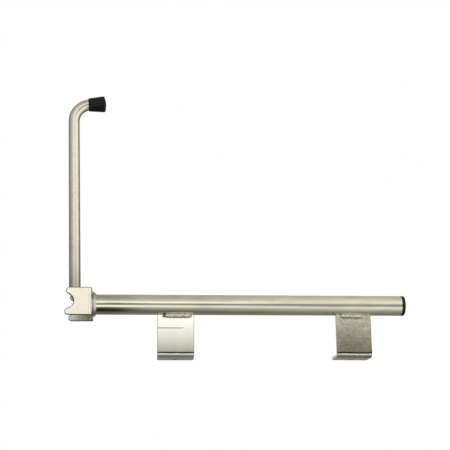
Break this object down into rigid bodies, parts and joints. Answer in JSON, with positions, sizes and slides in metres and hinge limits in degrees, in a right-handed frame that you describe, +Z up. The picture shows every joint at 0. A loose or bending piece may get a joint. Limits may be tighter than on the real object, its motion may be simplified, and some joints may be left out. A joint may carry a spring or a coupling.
{
  "type": "door security bar",
  "caption": "Wall-mounted door security bar: a tube on two screw-down brackets with a spring-return bent lever that pulls out, turns and seats in a notched yoke.",
  "frame": {"origin": "midway between the two screw holes, on the undersides of the bracket lips", "axes": "+X along the tube towards its plugged end, +Y to the rear, the way the lips point, +Z up from the lips towards the tube and the lever's tip"},
  "size_m": [0.4737, 0.0546, 0.378],
  "materials": {
    "zinc_tube": "bright zinc plate, drawn tube",
    "zinc_yoke": "bright zinc plate, folded sheet",
    "zinc_plate": "zinc plate with rolling marks",
    "zinc_rod": "satin zinc plate",
    "weld_steel": "plated weld metal",
    "plain_steel": "turned steel",
    "spring_steel": "drawn spring wire",
    "black_plastic": "glossy moulded plastic",
    "black_rubber": "matt moulded rubber",
    "nylon": "natural nylon"
  },
  "bodies": {
    "frame": {"main_tube": "zinc_tube", "yoke_bracket": "zinc_yoke", "yoke_weld": "weld_steel", "left_mount_bracket": "zinc_plate", "right_mount_bracket": "zinc_plate", "left_weld_front": "weld_steel", "left_weld_rear": "weld_steel", "right_weld_front": "weld_steel", "right_weld_rear": "weld_steel", "tube_end_plug": "black_plastic", "front_guide_bush": "nylon", "rear_guide_bush": "nylon", "spring_stop_ring": "plain_steel", "return_spring": "spring_steel"},
    "slider": {"thrust_washer": "plain_steel"},
    "lever": {"lever_rod": "zinc_rod", "retaining_collar": "plain_steel", "roll_pin": "spring_steel", "lever_ferrule": "black_rubber", "ferrule_washer": "plain_steel"}
  },
  "joints": [
    {"name": "lever_pull", "type": "slide", "parent": "frame", "child": "slider", "axis": [-1, 0, 0], "range_m": [0, 0.024], "stiffness_N_per_m": 900, "springref_m": -0.02, "deforming": ["return_spring"]},
    {"name": "lever_turn", "type": "hinge", "parent": "slider", "child": "lever", "pos_m": [-0.2355, -0.019, 0.0725], "axis": [1, 0, 0], "range_deg": [-32, 32]}
  ]
}
